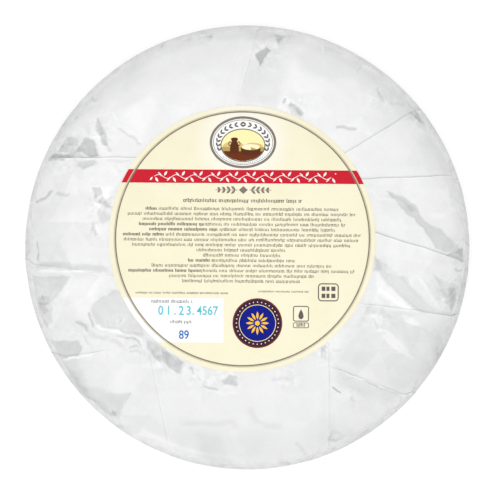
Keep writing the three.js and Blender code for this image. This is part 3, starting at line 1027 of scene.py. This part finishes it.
def build_label(bed, material):
    """The label as a closed sheet: its face, its back and the cut edge between them."""
    columns = 300
    rings = np.linspace(0, LABEL_RADIUS, 74)[1:]
    direction = around(columns)
    x = LABEL_X + np.outer(rings, np.cos(direction))
    y = LABEL_Y + np.outer(rings, np.sin(direction))
    low = bed.height(x, y)
    face = np.stack([x, y, low + LABEL_THICKNESS], axis=-1).reshape(-1, 3)
    back = np.stack([x, y, low], axis=-1).reshape(-1, 3)
    middles = [[LABEL_X, LABEL_Y, bed.level + LABEL_THICKNESS], [LABEL_X, LABEL_Y, bed.level]]
    count = len(face)
    quads = grid_faces(len(rings), columns, closed=True)
    faces = [*quads.tolist(), *(quads[:, ::-1] + count).tolist()]
    faces += fan(2 * count, 0, columns)
    faces += flipped(fan(2 * count + 1, count, columns))
    for k, after in pairs_round(count - columns, columns):
        faces.append((k, count + k, count + after, after))
    label = new_object("label_sheet", [*face, *back, *middles], faces, material)
    label.data.set_sharp_from_angle(angle=math.radians(40))
    return label


def thicken(piece, thickness):
    modifier = piece.modifiers.new("thickness", "SOLIDIFY")
    modifier.thickness = thickness
    modifier.offset = -1


# ==== What is printed on the label. Places are in millimetres from the label's middle. ====

INK_THICKNESS = 0.02 * MM
LABEL_MM = LABEL_RADIUS / MM


class Print:
    """Flat shapes of one ink, laid on the label as one piece."""

    def __init__(self, name, ink, layer=1):
        self.name, self.ink, self.layer = name, ink, layer
        self.points, self.faces = [], []

    def add(self, points, faces):
        start = len(self.points)
        self.points += [tuple(p) for p in points]
        self.faces += [tuple(start + k for k in face) for face in faces]

    def between(self, low, high, left, right, step=1.8):
        """Everything from low to high between the two sides, which are functions of the height."""
        rows = max(2, math.ceil((high - low) / step) + 1)
        widest = max(right(y) - left(y) for y in np.linspace(low, high, rows))
        columns = max(2, math.ceil(widest / step) + 1)
        points = [
            (left(y) + (right(y) - left(y)) * k / (columns - 1), y)
            for y in np.linspace(low, high, rows)
            for k in range(columns)
        ]
        self.add(points, grid_faces(rows, columns)[:, ::-1])

    def bar(self, left, right, low, high):
        self.between(low, high, lambda y: left, lambda y: right)

    def shape(self, outline):
        """A filled shape whose outline can be seen whole from its middle, going anticlockwise."""
        self.add([np.mean(outline, axis=0), *outline], fan(0, 1, len(outline)))

    def frame(self, outer, inner):
        """The strip between two outlines with as many points each."""
        count = len(outer)
        pairs = pairs_round(0, count)
        self.add([*outer, *inner], [(k, after, count + after, count + k) for k, after in pairs])

    def disc(self, x, y, a, b=None):
        b = b or a
        count = oval_count(a)
        sizes = [0.25, 0.5, 0.75, 1.0] if a > 4 else [1.0]
        self.shape(oval(x, y, a * sizes[0], b * sizes[0], count))
        for small, large in zip(sizes, sizes[1:]):
            outer = oval(x, y, a * large, b * large, count)
            self.frame(outer, oval(x, y, a * small, b * small, count))

    def ring(self, x, y, a, b, width):
        count = oval_count(a)
        outer = oval(x, y, a + width / 2, b + width / 2, count)
        self.frame(outer, oval(x, y, a - width / 2, b - width / 2, count))

    def rounded_frame(self, x, y, a, b, corner, width):
        """A line round a box with rounded corners: a and b are half its width and height."""
        outer = rounded_box(x - a, x + a, y - b, y + b, corner)
        a, b = a - width, b - width
        self.frame(outer, rounded_box(x - a, x + a, y - b, y + b, max(0.1, corner - width)))

    def line(self, start, end, width):
        (x0, y0), (x1, y1) = start, end
        length = math.hypot(x1 - x0, y1 - y0)
        side_x, side_y = -(y1 - y0) / length * width / 2, (x1 - x0) / length * width / 2
        self.shape(
            [(x0 - side_x, y0 - side_y), (x1 - side_x, y1 - side_y),
             (x1 + side_x, y1 + side_y), (x0 + side_x, y0 + side_y)]
        )

    def build(self, bed):
        x, y = label_point(*np.array(self.points, float).T)
        z = bed.height(x, y) + LABEL_THICKNESS + self.layer * INK_THICKNESS * 1.5
        piece = new_object(self.name, np.stack([x, y, z], axis=1), self.faces, self.ink, False)
        thicken(piece, INK_THICKNESS)
        return piece


def oval_count(size):
    """How many points an oval of a size needs."""
    return max(16, 4 * round(1.5 * size))


def oval(x, y, a, b, count):
    return oval_arc(x, y, a, b, around(count))


def oval_arc(x, y, a, b, turn):
    """The points of an oval in some directions."""
    return np.stack([x + a * np.cos(turn), y + b * np.sin(turn)], axis=1)


def rounded_box(left, right, low, high, corner, count=5):
    """A box's outline with rounded corners, going anticlockwise."""
    points = []
    corners = [(right, high, 0), (left, high, 90), (left, low, 180), (right, low, 270)]
    for x, y, start in corners:
        middle_x = x - corner if x == right else x + corner
        middle_y = y - corner if y == high else y + corner
        for turn in rad(np.linspace(start, start + 90, count)):
            points.append((middle_x + corner * math.cos(turn), middle_y + corner * math.sin(turn)))
    return points


def rim_half_width(y):
    """Half of the label's width at a height."""
    return math.sqrt(max(0.0, LABEL_MM**2 - y * y))


def leaf(x, y, length, width, turn):
    """A pointed leaf that starts at a place and grows in a direction, in degrees."""
    share = np.linspace(0, 1, 7)
    bow = width / 2 * np.sin(math.pi * share)
    along = np.concatenate([share, share[-2:0:-1]]) * length
    across = np.concatenate([-bow, bow[-2:0:-1]])
    c, s = math.cos(math.radians(turn)), math.sin(math.radians(turn))
    return np.stack([x + along * c - across * s, y + along * s + across * c], axis=1)


def lozenge(x, y, a, b):
    return [(x + a, y), (x, y + b), (x - a, y), (x, y - b)]


def print_ring(inks):
    """A dark line near the label's rim, with a paler one just outside it."""
    dark = Print("print_ring_line", inks["grey_brown"], layer=3)
    dark.ring(0.1, 0, 68.1, 68.1, 0.65)
    pale = Print("print_ring_pale_line", inks["pale_brown"], layer=3)
    pale.ring(0.1, 0, 68.8, 68.8, 0.5)
    return [dark, pale]


BANNER_LOW, BANNER_HIGH = 29.8, 37.0
BANNER_GAP = 0.1  # between the banner's ends and the label's edge
VINE_Y = (BANNER_LOW + BANNER_HIGH) / 2 - 0.2
VINE_WAVE, VINE_SWING, VINE_END = 9.5, 1.0, 47.5


def print_banner(inks):
    """A red band right across the label."""
    band = Print("print_banner", inks["red"], layer=2)
    band.between(
        BANNER_LOW,
        BANNER_HIGH,
        lambda y: BANNER_GAP - rim_half_width(y),
        lambda y: rim_half_width(y) - BANNER_GAP,
    )
    return [band]


def print_vine(inks):
    """A wavy stem along the banner, with two leaves and a berry on each half wave."""
    vine = Print("print_banner_vine", inks["white"], layer=3)
    stem = np.linspace(-VINE_END, VINE_END, 191)
    path = [(x, VINE_Y + VINE_SWING * math.sin(math.tau * x / VINE_WAVE)) for x in stem]
    for start, end in zip(path, path[1:]):
        vine.line(start, end, 0.32)
    for k in range(-10, 11):
        x = k * VINE_WAVE / 2
        side = 1 if k % 2 else -1
        vine.shape(leaf(x + 0.6, VINE_Y + 0.4 * side, 3.0, 1.2, 58 * side))
        vine.shape(leaf(x - 0.8, VINE_Y + 0.2 * side, 2.4, 0.95, 128 * side))
        vine.disc(x + VINE_WAVE / 4, VINE_Y - side * 2.0, 0.32)
    return [vine]


def print_title_ornament(inks):
    """A lozenge between two laurel sprays, under the banner."""
    ornament = Print("print_title_ornament", inks["grey_brown"])
    x, y = 0.4, 26.2
    ornament.shape(lozenge(x, y, 2.4, 2.1))
    for side in (-1, 1):
        ornament.line((x + side * 3.2, y), (x + side * 15.0, y), 0.3)
        for k in range(4):
            start = x + side * (4.2 + 2.7 * k)
            for turn in (42, -42):
                heading = turn if side > 0 else 180 - turn
                ornament.shape(leaf(start, y, 3.2 - 0.35 * k, 1.25, heading))
    return [ornament]


# Small print is drawn as rows of upright strokes in groups: it has the look of print, and says nothing
ROW_PITCH = 2.77  # from one row to the next
FIRST_ROW = 15.3
ROW_HALF_WIDTHS = [52, 61.5, 53.5, 55.5, 50, 64, 63.5, 59, 24.5, 21, 29, 48.5, 61, 39, 32]
BOLD_STARTS = {0: 7, 3: 34, 4: 36, 5: 22, 10: 13, 12: 38}  # how much of a row is bold, by its number


def print_strokes(ink_print, left, right, low, height, seed, stroke=0.31, bold_until=None):
    """One row of upright strokes from left to right, with gaps between groups of them."""
    pitch = height * 0.62
    x, number, group = left, 0, 0
    while x < right - pitch:
        length = 2 + int(9 * hashed(float(group), 3.0, seed))
        for _ in range(min(length * 2, int((right - x) / pitch))):
            tall = hashed(float(number), 7.0, seed)
            top = low + height * (1.38 if tall > 0.84 else 1.0)
            bottom = low - height * (0.3 if tall < 0.08 else 0.0)
            width = stroke * (1.5 if bold_until and x < left + bold_until else 1.0)
            ink_print.bar(x, x + width, bottom, top)
            joined = hashed(float(number), 9.0, seed)
            for share, least, most in ((0.88, 0.35, 0.75), (0.12, 0.58, 0.92)):
                if least < joined < most:
                    level = low + height * share
                    ink_print.bar(x + width, x + pitch, level - stroke / 3, level + stroke / 3)
            x += pitch
            number += 1
        x += 0.75 * height
        group += 1


def print_small_rows(inks):
    rows = Print("print_small_rows", inks["text"])
    for k, half_width in enumerate(ROW_HALF_WIDTHS):
        low = FIRST_ROW - k * ROW_PITCH
        print_strokes(rows, -half_width, half_width, low, 1.25, 70 + k, bold_until=BOLD_STARTS.get(k))
    heading = Print("print_heading_row", inks["text"])
    print_strokes(heading, -31.8, 32.3, 19.6, 1.45, 91, stroke=0.42)
    notes = Print("print_note_rows", inks["text"])
    print_strokes(notes, -57, -7, -29.7, 0.85, 92, stroke=0.24)
    print_strokes(notes, 8.7, 36.3, -28.6, 0.75, 93, stroke=0.2)
    return [rows, heading, notes]


DIGIT_SQUEEZE = 0.86  # the digits' width, as a share of the font's


def digits(ink_print, text, left, low, height):
    """Plain digits in Blender's own font, with their lower left corner at a place."""
    curve = bpy.data.curves.new("digits", "FONT")
    curve.body = text
    curve.offset = 0.012
    writer = bpy.data.objects.new("digits", curve)
    bpy.context.scene.collection.objects.link(writer)
    evaluated = writer.evaluated_get(bpy.context.evaluated_depsgraph_get())
    mesh = bpy.data.meshes.new_from_object(evaluated)
    points = np.array([v.co[:2] for v in mesh.vertices])
    faces = [tuple(p.vertices) for p in mesh.polygons]
    bpy.data.objects.remove(writer)
    bpy.data.meshes.remove(mesh)
    low_corner, high_corner = points.min(axis=0), points.max(axis=0)
    scale = height / (high_corner[1] - low_corner[1])
    ink_print.add((points - low_corner) * [DIGIT_SQUEEZE * scale, scale] + [left, low], faces)


DATE_BOX = (-9.8, -55.8, -31.9)  # its right side, its lower and its upper edge


def print_date_box(inks):
    """A white box that runs off the label's edge, with a stamped row of counting digits."""
    right, low, high = DATE_BOX
    box = Print("print_date_box", inks["white"], layer=2)
    box.between(low, high, lambda y: 0.15 - rim_half_width(y), lambda y: right)
    captions = Print("print_date_captions", inks["text"], layer=3)
    print_strokes(captions, -48.5, -25.8, -34.6, 1.3, 94, stroke=0.3)
    print_strokes(captions, -38.2, -26.4, -45.5, 1.3, 95, stroke=0.3)
    stamp = Print("print_date_stamp", inks["cyan"], layer=3)
    foot = -41.1
    for text, left in (("0", -44.8), ("1", -39.6), ("2", -33.8), ("3", -29.6), ("4567", -24.2)):
        digits(stamp, text, left, foot, 4.9)
    for x in (-35.8, -26.0):
        stamp.disc(x, foot + 0.5, 0.45)
    count = Print("print_day_count", inks["blue"], layer=3)
    digits(count, "89", -33.6, -54.0, 4.7)
    return [box, captions, stamp, count]


SEAL_X, SEAL_Y = 8.45, -45.2


def print_seal(inks):
    """A round blue seal with a dark edge, a ring of beads and a plain rosette."""
    edge = Print("print_seal_edge", inks["brown"], layer=2)
    edge.ring(SEAL_X, SEAL_Y, 13.0, 13.0, 0.7)
    field = Print("print_seal_field", inks["plum"])
    field.disc(SEAL_X, SEAL_Y, 12.9)
    middle = Print("print_seal_middle", inks["seal_blue"], layer=2)
    middle.disc(SEAL_X, SEAL_Y, 9.6)
    beads = Print("print_seal_beads", inks["straw"], layer=3)
    beads.ring(SEAL_X, SEAL_Y, 9.8, 9.8, 0.3)
    for x, y in oval(SEAL_X, SEAL_Y, 11.3, 11.3, 32):
        beads.disc(x, y, 0.32)
    rosette = Print("print_seal_rosette", inks["gold"], layer=3)
    petals = 12
    for k, (x, y) in enumerate(oval(SEAL_X, SEAL_Y, 1.9, 1.9, petals)):
        rosette.shape(leaf(x, y, 4.4, 1.3, 360 * k / petals))
    rosette.disc(SEAL_X, SEAL_Y, 1.3)
    return [edge, field, middle, beads, rosette]


def print_small_icons(inks):
    """A rounded box with two rows of bars, and a square with a plain drop over a small box."""
    icons = Print("print_icons", inks["text"])
    x, y = 46.4, -28.4
    icons.rounded_frame(x, y, 5.6, 4.85, 2.0, 0.6)
    for low in (y + 0.75, y - 3.05):
        for k, wide in enumerate((2.0, 1.6, 2.2)):
            left = x - 3.6 + 2.6 * k
            icons.bar(left, left + wide, low, low + 2.3)
    x, y = 31.8, -40.0
    icons.rounded_frame(x, y, 4.3, 4.2, 1.2, 0.5)
    turn = around(20)
    narrow = 1.9 * np.sin(turn) * np.sin(turn / 2) ** 1.3
    icons.shape(np.stack([x - narrow, y - 0.2 + 2.7 * np.cos(turn)], axis=1)[::-1])
    icons.rounded_frame(x, y - 6.2, 4.3, 1.5, 0.9, 0.4)
    print_strokes(icons, x - 2.3, x + 2.7, y - 6.9, 1.3, 96, stroke=0.4)
    return [icons]


EMBLEM_X, EMBLEM_Y = 0.05, 51.8
EMBLEM_WIDE, EMBLEM_TALL = 17.3, 13.4
PICTURE_WIDE, PICTURE_TALL = 11.5, 8.4
PICTURE_Y = EMBLEM_Y - 1.6
HORIZON = PICTURE_Y - 1.0


def print_emblem_frame(inks):
    field = Print("print_emblem_field", inks["white"])
    field.disc(EMBLEM_X, EMBLEM_Y, EMBLEM_WIDE, EMBLEM_TALL)
    lines = Print("print_emblem_lines", inks["grey_brown"], layer=2)
    lines.ring(EMBLEM_X, EMBLEM_Y, EMBLEM_WIDE - 0.1, EMBLEM_TALL - 0.1, 1.3)
    lines.ring(EMBLEM_X, EMBLEM_Y, EMBLEM_WIDE - 1.4, EMBLEM_TALL - 1.4, 0.3)
    lines.ring(EMBLEM_X, PICTURE_Y, PICTURE_WIDE + 0.3, PICTURE_TALL + 0.3, 0.6)
    return [field, lines]


def on_border(turn, outward):
    """A place on the emblem's border, from 0 at the picture to 1 at the outer lines."""
    wide = PICTURE_WIDE + 0.6 + outward * (EMBLEM_WIDE - 2.2 - PICTURE_WIDE)
    tall = PICTURE_TALL + 0.6 + outward * (EMBLEM_TALL - 2.2 - PICTURE_TALL)
    middle = PICTURE_Y + outward * (EMBLEM_Y - PICTURE_Y)
    return EMBLEM_X + wide * math.cos(turn), middle + tall * math.sin(turn)


def print_laurel(inks):
    """Pairs of leaves that meet at the top of the emblem's border, and dots below."""
    laurel = Print("print_emblem_laurel", inks["text"], layer=2)
    for turn in rad(np.linspace(202, -22, 18)):
        x, y = on_border(turn, 0.5)
        far_x, far_y = on_border(turn, 1.0)
        outward = math.degrees(math.atan2(far_y - y, far_x - x))
        to_top = outward - 90 if turn > math.pi / 2 else outward + 90
        for side in (-1, 1):
            laurel.shape(leaf(x, y, 2.5, 0.95, to_top + 32 * side))
    for turn in rad(np.linspace(222, 318, 23)):
        x, y = on_border(turn, 0.5)
        laurel.disc(x, y, 0.24)
    return [laurel]


def fill_picture(ink_print, low, high):
    """Fills the picture's oval from one height to another."""

    def half_width(y):
        return PICTURE_WIDE * math.sqrt(max(0.0, 1 - ((y - PICTURE_Y) / PICTURE_TALL) ** 2))

    ink_print.between(
        low, high, lambda y: EMBLEM_X - half_width(y), lambda y: EMBLEM_X + half_width(y), step=1.0
    )


def print_landscape(inks):
    """Two hills in front of a pale sky, a meadow and the ground."""
    sky = Print("print_emblem_sky", inks["straw"], layer=2)
    sky.disc(EMBLEM_X, PICTURE_Y, PICTURE_WIDE, PICTURE_TALL)
    hills = Print("print_emblem_hills", inks["tan"], layer=3)
    half_turn = np.linspace(0, math.pi, 15)
    for x, a, b in ((EMBLEM_X - 5.0, 6.0, 3.0), (EMBLEM_X + 5.6, 5.4, 2.4)):
        hills.shape(oval_arc(x, HORIZON, a, b, half_turn))
    ground = Print("print_emblem_ground", inks["brown"], layer=4)
    fill_picture(ground, PICTURE_Y - PICTURE_TALL + 0.05, HORIZON - 2.2)
    meadow = Print("print_emblem_meadow", inks["olive"], layer=3)
    fill_picture(meadow, HORIZON - 2.2, HORIZON)
    return [sky, hills, ground, meadow]


def print_churn(inks):
    """A milk churn with two ring handles."""
    churn = Print("print_emblem_churn", inks["dark_brown"], layer=5)
    x, foot = EMBLEM_X - 4.6, PICTURE_Y - 4.6
    body = [(2.3, 0), (2.4, 0.5), (2.3, 4.6), (1.4, 6.0)]
    lid = [(1.35, 7.2), (1.9, 7.6), (1.9, 8.2), (0.8, 8.7)]
    half = body + lid
    churn.shape([(x + a, foot + b) for a, b in half] + [(x - a, foot + b) for a, b in half[::-1]])
    for side in (-1, 1):
        churn.ring(x + side * 2.3, foot + 5.4, 0.75, 1.1, 0.4)
    return [churn]


def print_cut_cheese(inks):
    """A small wheel of cheese with a wedge cut out of its top."""
    x, y = EMBLEM_X + 4.2, PICTURE_Y - 0.9
    a, b, tall = 5.2, 1.7, 2.9
    front = np.linspace(math.pi, math.tau, 21)
    side = Print("print_emblem_cheese_side", inks["dark_brown"], layer=5)
    lower, upper = oval_arc(x, y - tall, a, b, front), oval_arc(x, y, a, b, front[::-1])
    side.add([*lower, *upper], [(k, k + 1, 40 - k, 41 - k) for k in range(20)])
    face = Print("print_emblem_cheese_face", inks["cream_ink"], layer=6)
    uncut = rad(np.linspace(-28, 292, 41) - 20)
    face.shape([(x, y), *oval_arc(x, y, 0.93 * a, 0.9 * b, uncut)])
    return [side, face]


PRINTED = [
    print_ring,
    print_banner,
    print_vine,
    print_title_ornament,
    print_small_rows,
    print_date_box,
    print_seal,
    print_small_icons,
    print_emblem_frame,
    print_laurel,
    print_landscape,
    print_churn,
    print_cut_cheese,
]


def build_print(bed, inks):
    return [part.build(bed) for printed in PRINTED for part in printed(inks)]


# ==== Materials ====


class Shader:
    """A material's nodes, round one Principled shader. Textures use metres in the CAD frame."""

    def __init__(self, name, **values):
        self.material = bpy.data.materials.new(name)
        self.material.use_nodes = True
        self.tree = self.material.node_tree
        self.principled = self.tree.nodes["Principled BSDF"]
        for socket, value in values.items():
            self.principled.inputs[socket.replace("_", " ")].default_value = value
        self.place = self.add("ShaderNodeTexCoord").outputs["Object"]

    def add(self, kind, **settings):
        node = self.tree.nodes.new(kind)
        for name, value in settings.items():
            setattr(node, name, value)
        return node

    def put(self, value, socket):
        """Links a value to a socket, or sets it there if it is a plain number or colour."""
        if isinstance(value, bpy.types.NodeSocket):
            self.tree.links.new(value, socket)
        else:
            socket.default_value = value

    def noise(self, size, detail=2.0, roughness=0.5, stretch=(1, 1, 1)):
        """Noise from 0 to 1 with features of about a size, in metres."""
        scaled = self.add("ShaderNodeMapping")
        self.put(self.place, scaled.inputs["Vector"])
        scaled.inputs["Scale"].default_value = stretch
        texture = self.add("ShaderNodeTexNoise")
        self.put(scaled.outputs["Vector"], texture.inputs["Vector"])
        self.put(1 / size, texture.inputs["Scale"])
        self.put(detail, texture.inputs["Detail"])
        self.put(roughness, texture.inputs["Roughness"])
        return texture.outputs["Fac"]

    def spread(self, size, low, high, detail=3.0, roughness=0.5):
        """Noise that mostly lies between two values."""
        return self.remap(self.noise(size, detail, roughness), 0.3, 0.7, low, high)

    def math(self, operation, a, b=0.0):
        node = self.add("ShaderNodeMath", operation=operation)
        self.put(a, node.inputs[0])
        self.put(b, node.inputs[1])
        return node.outputs["Value"]

    def remap(self, value, low, high, to_low, to_high):
        node = self.add("ShaderNodeMapRange")
        self.put(value, node.inputs["Value"])
        for name, number in zip(("From Min", "From Max", "To Min", "To Max"), (low, high, to_low, to_high)):
            node.inputs[name].default_value = number
        return node.outputs["Result"]

    def mix(self, share, first, second):
        """A colour between two colours."""
        node = self.add("ShaderNodeMix", data_type="RGBA")
        self.put(share, node.inputs["Factor"])
        self.put(first, node.inputs[6])
        self.put(second, node.inputs[7])
        return node.outputs[2]

    def bump(self, height, distance, strength=1.0, before=None):
        """A normal from a height between 0 and 1 that stands for a distance in metres."""
        node = self.add("ShaderNodeBump")
        self.put(height, node.inputs["Height"])
        self.put(distance, node.inputs["Distance"])
        self.put(strength, node.inputs["Strength"])
        if before is not None:
            self.put(before, node.inputs["Normal"])
        return node.outputs["Normal"]

    def finish(self, **links):
        for socket, value in links.items():
            self.put(value, self.principled.inputs[socket.replace("_", " ")])
        return self.material


def film_paper_material():
    """White paper with a thin glossy film. Its greyness is partly tone where it clings to the cheese, and
    mostly painted shade and highlights of the creases, folds, facets and rim.
    """
    paper = Shader("film_paper", IOR=1.5, Coat_Weight=0.25, Coat_Roughness=0.22)
    tone_and_painted_shade = paper.add("ShaderNodeAttribute", attribute_name="tone_and_painted_shade").outputs["Fac"]
    cloud = paper.spread(9 * MM, -0.07, 0.07)
    fibre = paper.spread(0.7 * MM, -0.10, 0.10, 4, 0.65)
    tone = paper.math("ADD", paper.math("ADD", tone_and_painted_shade, cloud), fibre)
    share = paper.remap(tone, -0.8, 2.0, 0.0, 1.0)
    colour = paper.mix(share, (0.93, 0.93, 0.93, 1), (0.475, 0.48, 0.485, 1))
    roughness = paper.spread(2.2 * MM, 0.42, 0.56)
    fine = paper.bump(paper.noise(0.45 * MM, 3, 0.6), 0.02 * MM)
    normal = paper.bump(paper.noise(2.6 * MM, 3, 0.55), 0.12 * MM, before=fine)
    return paper.finish(Base_Color=colour, Roughness=roughness, Normal=normal)


def rind_material():
    """A soft white bloom with a yellower paste showing through where it is thin."""
    rind = Shader("cheese_rind", IOR=1.42, Sheen_Weight=0.25, Sheen_Roughness=0.6)
    blotches = rind.remap(rind.noise(14 * MM, 4, 0.6), 0.42, 0.66, 0.0, 1.0)
    streaks = rind.remap(rind.noise(3 * MM, 4, 0.6, (1, 0.25, 1)), 0.5, 0.75, 0.0, 0.7)
    base = rind.mix(blotches, (0.90, 0.87, 0.78, 1), (0.80, 0.70, 0.50, 1))
    colour = rind.mix(streaks, base, (0.74, 0.60, 0.40, 1))
    roughness = rind.remap(blotches, 0.0, 1.0, 0.95, 0.72)
    fuzz = rind.bump(rind.noise(0.6 * MM, 5, 0.7), 0.12 * MM)
    normal = rind.bump(rind.noise(5 * MM, 4, 0.6), 0.35 * MM, before=fuzz)
    return rind.finish(Base_Color=colour, Roughness=roughness, Normal=normal)


CREAM = (0.865, 0.822, 0.605, 1)
# Pale colour of the painted sheen round the emblem
PAINTED_SHEEN_PALE = (0.89, 0.88, 0.82, 1)


def label_material():
    """Smooth coated label stock, printed cream, with a painted sheen that makes it paler round the emblem.
    """
    label = Shader("label_stock", IOR=1.48, Coat_Weight=0.15, Coat_Roughness=0.25)
    from_emblem = label.add("ShaderNodeVectorMath", operation="DISTANCE")
    label.put(label.place, from_emblem.inputs[0])
    emblem = label_point(EMBLEM_X, EMBLEM_Y)
    from_emblem.inputs[1].default_value = (*emblem, LABEL_HIGH.z)
    # Painted sheen: the label is drawn paler near the emblem
    painted_sheen = label.remap(from_emblem.outputs["Value"], 15 * MM, 27 * MM, 0.75, 0.0)
    mottle = label.spread(1.1 * MM, 0.0, 0.3)
    cloud = label.remap(label.noise(22 * MM, 3), 0.4, 0.62, 0.0, 0.6)
    mottled = label.mix(mottle, CREAM, (0.82, 0.775, 0.56, 1))
    cream = label.mix(cloud, mottled, (0.83, 0.775, 0.54, 1))
    colour = label.mix(painted_sheen, cream, PAINTED_SHEEN_PALE)
    roughness = label.spread(3 * MM, 0.38, 0.5)
    normal = label.bump(label.noise(0.5 * MM, 3, 0.6), 0.01 * MM)
    return label.finish(Base_Color=colour, Roughness=roughness, Normal=normal)


INKS = {
    "grey_brown": (0.21, 0.175, 0.14),
    "text": (0.12, 0.10, 0.092),
    "brown": (0.14, 0.03, 0.008),
    "dark_brown": (0.10, 0.026, 0.009),
    "tan": (0.68, 0.50, 0.22),
    "pale_brown": (0.56, 0.51, 0.37),
    "olive": (0.44, 0.34, 0.09),
    "straw": (0.90, 0.82, 0.42),
    "cream_ink": (0.92, 0.84, 0.55),
    "red": (0.555, 0.013, 0.028),
    "white": (0.88, 0.885, 0.87),
    "cyan": (0.09, 0.50, 0.59),
    "blue": (0.013, 0.13, 0.50),
    "plum": (0.045, 0.012, 0.045),
    "seal_blue": (0.003, 0.008, 0.21),
    "gold": (0.90, 0.52, 0.04),
}


def ink_material(name, colour):
    """Printing ink: slightly uneven, and a little glossier than the label."""
    ink = Shader("ink_" + name, IOR=1.45, Specular_IOR_Level=0.06)
    uneven = ink.spread(0.5 * MM, 0.0, 0.5, 3, 0.6)
    thin = tuple(1.3 * part + 0.004 for part in colour)  # where less ink lies
    roughness = ink.spread(2 * MM, 0.36, 0.48, 2)
    return ink.finish(Base_Color=ink.mix(uneven, (*colour, 1), (*thin, 1)), Roughness=roughness)


def floor_material():
    """A white table that glows a little, as a light table does."""
    floor = Shader("floor", Roughness=0.9, Emission_Color=(1, 1, 1, 1), Emission_Strength=0.72)
    tone = floor.spread(0.3, 0.49, 0.51, 2)
    colour = floor.mix(tone, (0.34, 0.34, 0.34, 1), (0.38, 0.38, 0.38, 1))
    return floor.finish(Base_Color=colour)


# ==== Floor, light and camera ====


def build_floor():
    """A round floor that sweeps up into a low wall, far behind the wheel, like a roll of paper."""
    level, sweep, wall = 7.0, 1.5, 1.5
    turn = rad(np.linspace(0, 90, 10))
    radius = np.concatenate([[0.5], level + sweep * np.sin(turn), [level + sweep]])
    height = np.concatenate([[0.0], sweep * (1 - np.cos(turn)), [sweep + wall]])
    columns = 96
    direction = around(columns)
    x, y = radius[:, None] * np.cos(direction), radius[:, None] * np.sin(direction)
    z = np.broadcast_to(height[:, None], x.shape)
    points = np.stack([x, y, z], axis=-1).reshape(-1, 3)
    faces = grid_faces(len(radius), columns, closed=True).tolist()
    faces.append(tuple(range(columns)))
    new_object("floor", points, faces, floor_material())


def aim(thing, target=(0, 0, 0)):
    away = thing.location - Vector(target)
    thing.rotation_euler = away.to_track_quat("Z", "Y").to_euler()


def add_light(name, azimuth, elevation, distance, size, power):
    light = bpy.data.lights.new(name, "AREA")
    light.shape = "SQUARE"
    light.size = size
    light.energy = power
    lamp = bpy.data.objects.new(name, light)
    a, e = math.radians(azimuth), math.radians(elevation)
    lamp.location = Vector((math.cos(a) * math.cos(e), math.sin(a) * math.cos(e), math.sin(e))) * distance
    aim(lamp)
    lamp.visible_camera = False
    bpy.context.scene.collection.objects.link(lamp)


def build_light():
    add_light("overhead", azimuth=-90, elevation=88, distance=0.40, size=0.24, power=0.50)
    add_light("key", azimuth=-110, elevation=32, distance=1.6, size=0.5, power=4)
    world = bpy.data.worlds.new("studio")
    world.use_nodes = True
    background = world.node_tree.nodes["Background"]
    background.inputs["Color"].default_value = (1, 1, 1, 1)
    background.inputs["Strength"].default_value = 0.66
    bpy.context.scene.world = world
    bpy.context.scene.view_settings.view_transform = "Standard"


FRAME_WIDTH = 0.270  # of the picture, at the height of the wheel's belly
LENS, SENSOR = 400.0, 36.0
LOOK_AT = (1.46 * MM, -1.40 * MM)


def build_camera():
    camera = bpy.data.cameras.new("camera")
    camera.lens = LENS
    camera.sensor_width = SENSOR
    camera.clip_start, camera.clip_end = 0.1, 20
    eye = bpy.data.objects.new("camera", camera)
    eye.location = (*LOOK_AT, BELLY_HEIGHT + FRAME_WIDTH * LENS / SENSOR)
    bpy.context.scene.collection.objects.link(eye)
    bpy.context.scene.camera = eye


# ==== Putting it together ====

build_camera()
build_light()
build_floor()

film_paper = film_paper_material()
label_stock = label_material()
inks = {name: ink_material(name, colour) for name, colour in INKS.items()}

paper_points, paper_faces, tone_and_painted_shade, panel_of_face = sheet_shape()
bed = LabelBed(paper_points)
paper_points = tuck_under_label(paper_points, bed)

for sheet in build_sheet(paper_points, paper_faces, tone_and_painted_shade, panel_of_face, film_paper):
    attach(sheet, "root")
    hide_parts("paper_wrapper")

cheese = build_cheese(rind_material())
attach(cheese, "root")
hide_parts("cheese")

for piece in [build_label(bed, label_stock), *build_print(bed, inks)]:
    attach(piece, "root")
    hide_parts("round_label")
